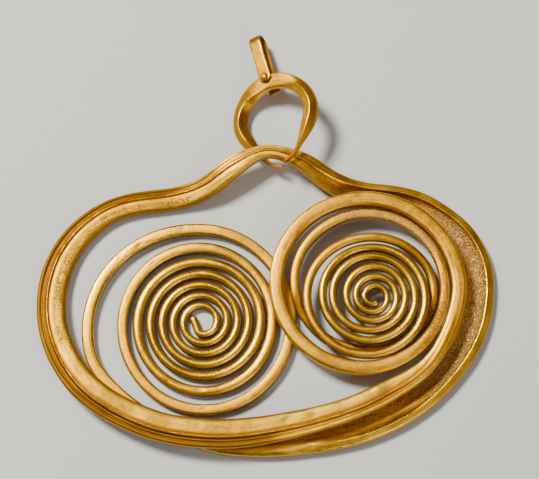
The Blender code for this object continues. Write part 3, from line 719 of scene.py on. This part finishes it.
# bail: the strip's middle line runs in the plane of the lean and the ring's normal
pin = RING_OUTER_RADIUS - RIVET_INSET
pin_turn = math.radians(RIVET_BEARING)
pin_spot = np.array([pin * math.cos(pin_turn), pin * math.sin(pin_turn), 0.0])
lean = math.radians(90.0 + BAIL_LEAN)
strip_ahead = np.array([math.cos(lean), math.sin(lean), 0.0])
strip_side = np.array([math.sin(lean), -math.cos(lean), 0.0])
leaf = 0.5 * RING_TOP_THICK + FIT_GAP + 0.5 * BAIL_STRIP
fold = 0.5 * BAIL_LOOP_HEIGHT + 0.5 * BAIL_STRIP
top = BAIL_LENGTH - fold - 0.5 * BAIL_STRIP
half_way = 0.5 * (max(leaf, fold) + leaf)
route = [(-BAIL_LIP, leaf), (0.0, leaf), (LEAF_SHARE * top, leaf), (LOOP_SHARE * top, half_way)]
for step in range(LOOP_STEPS + 1):
    turn = math.pi * step / LOOP_STEPS
    route.append((top + fold * math.sin(turn), fold * math.cos(turn)))
route += [(LOOP_SHARE * top, -half_way), (LEAF_SHARE * top, -leaf), (0.0, -leaf), (-BAIL_TAIL, -leaf)]
route = np.array(route)
lengths = np.concatenate([[0.0], np.cumsum(np.linalg.norm(np.diff(route, axis=0), axis=1))])
marks = np.linspace(0.0, lengths[-1], BAIL_ROWS + 1)
path = np.stack([np.interp(marks, lengths, route[:, 0]), np.interp(marks, lengths, route[:, 1])], axis=1)
path[1:-1] = soften(path, 5)[1:-1]
# strip section: rounded edges and nearly flat faces
STRIP = [(-0.5, 0.0), (-0.49, 0.28), (-0.45, 0.44), (-0.38, 0.49), (-0.2, 0.5), (0.0, 0.5),
         (0.2, 0.5), (0.38, 0.49), (0.45, 0.44), (0.49, 0.28), (0.5, 0.0), (0.49, -0.28),
         (0.45, -0.44), (0.38, -0.49), (0.2, -0.5), (0.0, -0.5), (-0.2, -0.5), (-0.38, -0.49),
         (-0.45, -0.44), (-0.49, -0.28)]
strip_form = finer(np.array(STRIP))
path_run = np.gradient(path, axis=0)
path_run /= np.linalg.norm(path_run, axis=1, keepdims=True)
rows = []
for k in range(BAIL_ROWS + 1):
    gone = marks[k]
    left = lengths[-1] - marks[k]
    # the front end is rounded off, the rear end is cut nearly square
    full = 1.0
    if gone < BAIL_LIP:
        full = math.sqrt(max(0.1, 1.0 - (1.0 - gone / BAIL_LIP) ** 2))
    if left < REAR_ROUNDING:
        full = min(full, 0.86 + 0.14 * math.sqrt(max(0.0, 1.0 - (1.0 - left / REAR_ROUNDING) ** 2)))
    thin = 1.0
    if gone < FRONT_THINNING:
        thin = 0.55 + 0.45 * math.sqrt(gone / FRONT_THINNING)
    if left < REAR_THINNING:
        thin = 0.6 + 0.4 * math.sqrt(left / REAR_THINNING)
    swell = 0.97 + 0.03 * math.sin(gone * 1.3)
    u = strip_form[:, 0] * BAIL_WIDTH * full * swell
    v = strip_form[:, 1] * BAIL_STRIP * thin
    lift = strip_ahead * (-path_run[k, 1]) + np.array([0.0, 0.0, path_run[k, 0]])
    heart = pin_spot + strip_ahead * path[k, 0] + np.array([0.0, 0.0, path[k, 1]])
    rows.append(heart + np.outer(u, strip_side) + np.outer(v, lift))
bail_grid = np.array(rows)
bail_run = marks[:, None] + np.zeros(bail_grid.shape[:2])
bail_lap = np.arange(bail_grid.shape[1])[None, :] * BAIL_LAP_STEP + np.zeros(bail_grid.shape[:2])
bail_world = placed(bail_grid.reshape(-1, 3)).reshape(bail_grid.shape)
around_strip = np.abs(strip_form[:, 0])[None, :] + 0.0 * bail_run
over_strip = strip_form[:, 1][None, :] + 0.0 * bail_run
# painted highlight along the strip's rounded edges
edge = spread(around_strip, 0.44, 0.05) * eased((over_strip - 0.2) / 0.2)
# painted shade on the strip's side edges and its under face
bail_dark = eased((around_strip - 0.45) / 0.04) * eased((0.35 - over_strip) / 0.2)
bail_dark = np.maximum(bail_dark, 0.8 * eased((-over_strip - 0.1) / 0.3))
# painted shade on the fold turned away from the light, painted highlight on the front leaf below it
turned = window(bail_run, 5.9, 9.0, 0.6) * 0.8
bright = window(bail_run, 3.9, 6.2, 0.7) + 0.35 * window(bail_run, -0.5, 4.2, 0.6)
bail = skin("bail_strip", bail_world, {
    "run_mm": bail_run, "girth_mm": bail_lap, "crest_wear_and_highlight": 0.6 * edge, "painted_underside_shade": 0.6 * bail_dark,
    "wear_and_painted_light": np.clip(bright, 0.0, 1.0), "shade_and_tarnish": turned}, sharp=50)
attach(bail, "root")
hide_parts("folded_bail")

# rivet: a domed head beaten a little flat, a shank and a tail
seat = leaf + 0.5 * BAIL_STRIP + FIT_GAP
DOME_STEPS = 14
RIVET_AROUND = 40
PROFILE_END = 0.02
profile = []
for step in range(DOME_STEPS + 1):
    turn = math.radians(90.0 - 90.0 * step / DOME_STEPS)
    profile.append((RIVET_HEAD_RADIUS * math.cos(turn), seat + RIVET_HEAD_HEIGHT * math.sin(turn)))
profile.append((RIVET_HEAD_RADIUS * 0.93, seat))
profile += [(RIVET_SHANK_RADIUS, seat), (RIVET_SHANK_RADIUS, -seat), (RIVET_TAIL_RADIUS * 0.95, -seat),
            (RIVET_TAIL_RADIUS, -seat - 0.3 * RIVET_TAIL_HEIGHT),
            (RIVET_TAIL_RADIUS * 0.93, -seat - 0.8 * RIVET_TAIL_HEIGHT),
            (RIVET_TAIL_RADIUS * 0.75, -seat - RIVET_TAIL_HEIGHT),
            (PROFILE_END, -seat - RIVET_TAIL_HEIGHT)]
profile[0] = (PROFILE_END, profile[0][1])
spin = np.linspace(0.0, 2.0 * math.pi, RIVET_AROUND, endpoint=False)
rows = []
for radius, z in profile:
    wobble = 1.0 - 0.03 * (1.0 + np.sin(3.0 * spin + 1.0)) * (radius / RIVET_HEAD_RADIUS)
    rows.append(np.stack([radius * wobble * np.cos(spin), radius * wobble * np.sin(spin),
                          np.full_like(spin, z)], axis=1) + pin_spot)
rivet_grid = np.array(rows)
rivet_world = placed(rivet_grid.reshape(-1, 3)).reshape(rivet_grid.shape)
rivet = skin("rivet_head", rivet_world, sharp=55)
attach(rivet, "root")
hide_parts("rivet")


class Finish:
    # small helper that lays out the nodes of one material
    def __init__(self, name):
        self.material = bpy.data.materials.new(name)
        self.material.use_nodes = True
        self.tree = self.material.node_tree
        self.shader = self.tree.nodes["Principled BSDF"]
        self.column = 0

    def node(self, kind, settings=None, **inputs):
        made = self.tree.nodes.new(kind)
        self.column += 1
        made.location = (-200.0 * (self.column % 9) - 300.0, -220.0 * (self.column // 9))
        for key, value in (settings or {}).items():
            setattr(made, key, value)
        for key, value in inputs.items():
            self.put(made.inputs[key.replace("_", " ")], value)
        return made

    def put(self, socket, value):
        if isinstance(value, bpy.types.NodeSocket):
            self.tree.links.new(value, socket)
        else:
            socket.default_value = value

    def math(self, operation, a, b=0.0, clamp=False):
        made = self.node("ShaderNodeMath", {"operation": operation, "use_clamp": clamp})
        self.put(made.inputs[0], a)
        self.put(made.inputs[1], b)
        return made.outputs[0]

    def times(self, a, b):
        return self.math("MULTIPLY", a, b)

    def plus(self, a, b):
        return self.math("ADD", a, b)

    def minus(self, a, b):
        return self.math("SUBTRACT", a, b)

    def between(self, value, low, high, out_low=0.0, out_high=1.0):
        made = self.node("ShaderNodeMapRange", {"interpolation_type": "SMOOTHSTEP"})
        for key, thing in (("Value", value), ("From Min", low), ("From Max", high),
                           ("To Min", out_low), ("To Max", out_high)):
            self.put(made.inputs[key], thing)
        return made.outputs[0]

    def tint(self, factor, a, b):
        made = self.node("ShaderNodeMix", {"data_type": "RGBA"})
        self.put(made.inputs["Factor"], factor)
        for socket, value in ((made.inputs[6], a), (made.inputs[7], b)):
            self.put(socket, (*value, 1.0) if isinstance(value, tuple) else value)
        return made.outputs[2]

    def wash(self, colour, mask, strength, tone):
        # lays a tone over the colour where the mask is strong
        return self.tint(self.times(mask, strength), colour, tone)

    def read(self, name):
        return self.node("ShaderNodeAttribute", {"attribute_name": name}).outputs["Fac"]

    def noise(self, vector, scale, detail=4.0, rough=0.55):
        made = self.node("ShaderNodeTexNoise", {}, Scale=scale, Detail=detail, Roughness=rough)
        self.put(made.inputs["Vector"], vector)
        return made.outputs["Fac"]


# scales of the noise patterns, per metre
CLOUD_SCALE = 260.0
FINE_SCALE = 1500.0
CRUST_SCALE = 3000.0
SPECK_SCALE = 3200.0
GRIT_SCALE = 5600.0
BUMP_DEPTH = 0.00004

# tones that lie over the metal
AMBER = ((0.56, 0.23, 0.001), (0.78, 0.37, 0.003))
WORN_AND_LIT_TONE = (1.0, 0.54, 0.02)
SHADE_AND_TARNISH_TONE = (0.15, 0.055, 0.001)
NICK = (0.2, 0.08, 0.01)
FILM = (0.16, 0.045, 0.003)
CRUST_AND_SHADE_TONES = ((0.12, 0.024, 0.004), (0.52, 0.15, 0.01))
PAINTED_SHADE_TONE = (0.03, 0.01, 0.002)
PITTED = ((0.25, 0.11, 0.035), (0.78, 0.49, 0.18))


def streak_vector(f, along_scale, across_scale):
    # drawn-out pattern: long along the piece, short across it
    made = f.node("ShaderNodeCombineXYZ")
    f.put(made.inputs[0], f.times(f.read("run_mm"), along_scale))
    f.put(made.inputs[1], f.times(f.read("girth_mm"), across_scale))
    return made.outputs[0]


def gold_finish(name, pale, mid, deep, streaks=True):
    f = Finish(name)
    spot = f.node("ShaderNodeTexCoord").outputs["Object"]
    cloud = f.noise(spot, CLOUD_SCALE, 5.0)
    fine = f.noise(spot, FINE_SCALE, 3.0)
    speck = f.noise(spot, SPECK_SCALE, 2.0)
    grit = f.noise(spot, GRIT_SCALE, 2.0, 0.7)
    colour = f.tint(f.between(cloud, 0.36, 0.64), deep, mid)
    colour = f.wash(colour, f.between(fine, 0.45, 0.7), 0.45, pale)
    colour = f.tint(f.between(grit, 0.52, 0.32, 0.0, 0.8), colour, deep)
    colour = f.tint(f.between(grit, 0.52, 0.7, 0.0, 0.6), colour, pale)
    rough = f.between(cloud, 0.3, 0.7, 0.44, 0.54)
    height = f.plus(f.times(fine, 0.45), f.times(grit, 0.55))
    if streaks:
        lines = f.noise(streak_vector(f, 0.16, 4.2), 1.0, 3.0, 0.6)
        hair = f.noise(streak_vector(f, 0.5, 15.0), 1.0, 2.0, 0.6)
        colour = f.wash(colour, f.between(lines, 0.52, 0.72), 0.5, deep)
        colour = f.wash(colour, f.between(lines, 0.48, 0.3), 0.35, pale)
        height = f.plus(height, f.times(lines, 0.7))
        height = f.plus(height, f.times(hair, 0.3))
        rough = f.plus(rough, f.between(hair, 0.4, 0.7, -0.04, 0.05))
    dip = f.read("dip")
    crest_wear_and_highlight = f.read("crest_wear_and_highlight")
    deposit_and_shade = f.read("deposit_and_shade")
    pitted = f.read("pitted")
    painted_underside_shade = f.read("painted_underside_shade")
    warm = f.read("warm")
    wear_and_painted_light = f.read("wear_and_painted_light")
    # orange patina, then paler metal: wear, with painted light and highlight in places
    amber = f.tint(f.between(fine, 0.38, 0.62), *AMBER)
    colour = f.wash(colour, warm, f.between(cloud, 0.25, 0.6, 0.45, 0.85), amber)
    colour = f.wash(colour, wear_and_painted_light, 0.5, WORN_AND_LIT_TONE)
    rough = f.minus(rough, f.times(wear_and_painted_light, 0.13))
    # painted shade over the sides turned from the light, and a thinner darkening on the left arm
    colour = f.wash(colour, f.read("shade_and_tarnish"), 0.88, SHADE_AND_TARNISH_TONE)
    # paler crests: wear, with painted highlight
    colour = f.wash(colour, crest_wear_and_highlight, 0.8, pale)
    rough = f.minus(rough, f.times(crest_wear_and_highlight, 0.2))
    nicked = f.times(f.read("scratched"), f.between(grit, 0.36, 0.56))
    colour = f.wash(colour, nicked, 0.75, NICK)
    # thin brown film in the hollows, thick reddish deposit with painted shade in places where the mask is
    # strong
    film = f.times(dip, f.between(fine, 0.3, 0.6, 0.3, 0.8))
    colour = f.wash(colour, film, 0.6, FILM)
    grown = f.plus(f.times(deposit_and_shade, 0.72), f.times(dip, 0.06))
    patch = f.plus(grown, f.times(f.minus(cloud, 0.5), 1.1))
    patch = f.plus(patch, f.times(f.minus(grit, 0.5), 2.4))
    patch = f.between(patch, 0.36, 0.72)
    patch = f.times(patch, f.between(deposit_and_shade, 0.02, 0.3))
    crust_and_shade = f.tint(f.between(f.noise(spot, CRUST_SCALE, 2.0), 0.4, 0.6), *CRUST_AND_SHADE_TONES)
    colour = f.wash(colour, patch, 0.85, crust_and_shade)
    rough = f.plus(rough, f.times(patch, 0.25))
    metal = f.minus(1.0, f.times(patch, 0.6))
    # painted shade on the sides and undersides
    painted_shade = f.times(painted_underside_shade, f.between(fine, 0.3, 0.7, 0.75, 1.0))
    colour = f.wash(colour, painted_shade, 0.93, PAINTED_SHADE_TONE)
    rough = f.plus(rough, f.times(painted_shade, 0.2))
    metal = f.math("SUBTRACT", metal, f.times(painted_shade, 0.35), True)
    # speckled, pitted floor of the channel
    spots = f.plus(f.times(grit, 0.65), f.times(speck, 0.35))
    spots = f.between(spots, 0.4, 0.58)
    colour = f.wash(colour, pitted, 0.75, f.tint(spots, *PITTED))
    rough = f.plus(rough, f.times(pitted, 0.1))
    height = f.plus(height, f.times(f.times(pitted, spots), 1.3))
    height = f.plus(height, f.times(f.times(patch, grit), 2.0))
    bump = f.node("ShaderNodeBump", {}, Strength=0.9, Distance=BUMP_DEPTH)
    f.put(bump.inputs["Height"], height)
    f.put(f.shader.inputs["Base Color"], colour)
    f.put(f.shader.inputs["Roughness"], rough)
    f.put(f.shader.inputs["Metallic"], metal)
    f.put(f.shader.inputs["Normal"], bump.outputs["Normal"])
    return f.material


# base metal of each piece: pale, middle and deep tone
PALE = (1.0, 0.61, 0.05)
DEEP = (0.6, 0.21, 0.002)
BAR_TONES = (PALE, (0.9, 0.42, 0.008), DEEP)
RING_TONES = (PALE, (0.92, 0.42, 0.008), (0.66, 0.25, 0.002))
BAIL_TONES = (PALE, (0.72, 0.35, 0.006), (0.52, 0.2, 0.001))
RIVET_TONES = (PALE, (0.95, 0.56, 0.05), DEEP)
bar.data.materials.append(gold_finish("aged_bar_gold", *BAR_TONES))
ring.data.materials.append(gold_finish("worn_ring_gold", *RING_TONES))
bail.data.materials.append(gold_finish("thin_bail_gold", *BAIL_TONES))
rivet.data.materials.append(gold_finish("rivet_gold_worn", *RIVET_TONES, streaks=False))

# floor: plain and pale
FLOOR_REACH = 1.5
FLOOR_DROP = 0.00002
floor_corners = [(x * FLOOR_REACH, y * FLOOR_REACH, 0.0) for x, y in ((-1, -1), (1, -1), (1, 1), (-1, 1))]
floor_mesh = bpy.data.meshes.new("floor")
floor_mesh.from_pydata(floor_corners, [], [(0, 1, 2, 3)])
floor = bpy.data.objects.new("floor", floor_mesh)
bpy.context.scene.collection.objects.link(floor)
floor.location.z = low[2] - FLOOR_DROP
pale_floor = Finish("pale_floor")
pale_floor.shader.inputs["Base Color"].default_value = (0.72, 0.73, 0.75, 1.0)
pale_floor.shader.inputs["Roughness"].default_value = 0.7
floor_mesh.materials.append(pale_floor.material)


def softbox(name, spot, size, power, colour):
    # flat light turned to the middle of the floor
    data = bpy.data.lights.new(name, "AREA")
    data.shape = "RECTANGLE"
    data.size = size[0]
    data.size_y = size[1]
    data.energy = power
    data.color = colour
    lamp = bpy.data.objects.new(name, data)
    bpy.context.scene.collection.objects.link(lamp)
    lamp.location = spot
    lamp.rotation_euler = (-Vector(spot)).to_track_quat("-Z", "Y").to_euler()


softbox("key", (-0.24, 0.2, 0.465), (0.13, 0.13), 4.6, (1.0, 0.99, 0.88))
softbox("top_fill", (0.05, 0.05, 0.6), (0.4, 0.4), 0.2, (1.0, 0.98, 0.94))
softbox("front_fill", (0.3, -0.38, 0.4), (0.25, 0.2), 0.85, (1.0, 0.98, 0.9))

world = bpy.data.worlds.new("studio")
bpy.context.scene.world = world
world.use_nodes = True
background = world.node_tree.nodes["Background"]
background.inputs["Color"].default_value = (1.0, 0.8, 0.64, 1.0)
background.inputs["Strength"].default_value = 0.12

# camera at the photograph's viewing angle
ELEVATION = math.radians(76.0)
DISTANCE = 0.24
FOCAL_PIXELS = 1800.0
PHOTO_WIDTH = 539.0
SENSOR_WIDTH = 36.0
camera_data = bpy.data.cameras.new("camera")
camera_data.sensor_width = SENSOR_WIDTH
camera_data.lens = FOCAL_PIXELS * SENSOR_WIDTH / PHOTO_WIDTH
camera_data.clip_start = 0.01
camera = bpy.data.objects.new("camera", camera_data)
bpy.context.scene.collection.objects.link(camera)
aim = Vector((shift[0] * MM, shift[1] * MM, 0.0))
camera.location = aim + Vector((0.0, -DISTANCE * math.cos(ELEVATION), DISTANCE * math.sin(ELEVATION)))
camera.rotation_euler = (math.pi / 2 - ELEVATION, 0.0, 0.0)
bpy.context.scene.camera = camera

bpy.context.view_layer.update()
